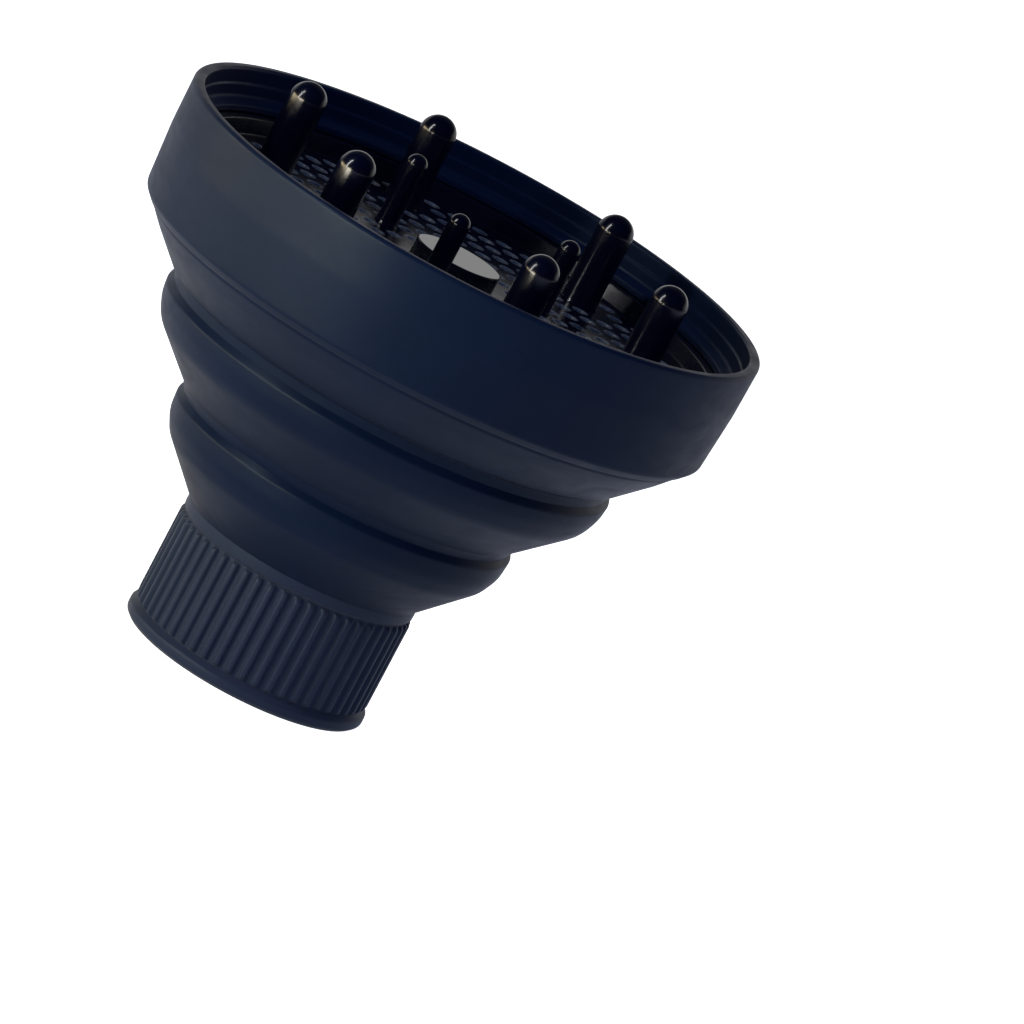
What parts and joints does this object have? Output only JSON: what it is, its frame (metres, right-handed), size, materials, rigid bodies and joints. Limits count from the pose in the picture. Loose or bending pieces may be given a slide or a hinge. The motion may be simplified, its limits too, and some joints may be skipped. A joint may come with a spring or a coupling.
{
  "type": "dryer diffuser",
  "caption": "Folding silicone hair dryer diffuser with a perforated finger plate, accordion fold rings and a ribbed nozzle sleeve.",
  "frame": {"origin": "centre of the nozzle socket's end face, which is also the centre of the base of the whole part", "axes": "+Z along the axis of revolution, from the nozzle socket to the bowl; +X through the first outer finger"},
  "size_m": [0.14, 0.14, 0.1233],
  "materials": {
    "silicone": "matte",
    "gloss_black_plastic": "gloss",
    "polished_cap": "polished",
    "grille_plastic": "satin",
    "finger_plastic": "gloss"
  },
  "bodies": {
    "neck": {"neck_sleeve": "silicone"},
    "lower_ring": {"lower_fold_ring": "silicone", "lower_web": "silicone"},
    "upper_ring": {"upper_fold_ring": "silicone", "middle_web": "silicone"},
    "bowl": {"rim_drum": "silicone", "bowl_shoulder": "silicone", "upper_web": "silicone", "diffuser_plate": "gloss_black_plastic", "hub_cap": "polished_cap", "hub_tube": "gloss_black_plastic", "hub_grille": "grille_plastic", "outer_finger_1": "finger_plastic", "outer_finger_2": "finger_plastic", "outer_finger_3": "finger_plastic", "outer_finger_4": "finger_plastic", "outer_finger_5": "finger_plastic", "outer_finger_6": "finger_plastic", "inner_finger_1": "finger_plastic", "inner_finger_2": "finger_plastic", "inner_finger_3": "finger_plastic"}
  },
  "joints": [
    {"name": "lower_fold", "type": "slide", "parent": "neck", "child": "lower_ring", "axis": [0, 0, 1], "range_m": [-0.024, 0], "deforming": ["lower_web"]},
    {"name": "middle_fold", "type": "slide", "parent": "lower_ring", "child": "upper_ring", "axis": [0, 0, 1], "range_m": [-0.024, 0], "deforming": ["middle_web"]},
    {"name": "upper_fold", "type": "slide", "parent": "upper_ring", "child": "bowl", "axis": [0, 0, 1], "range_m": [-0.018, 0], "deforming": ["upper_web"]}
  ]
}
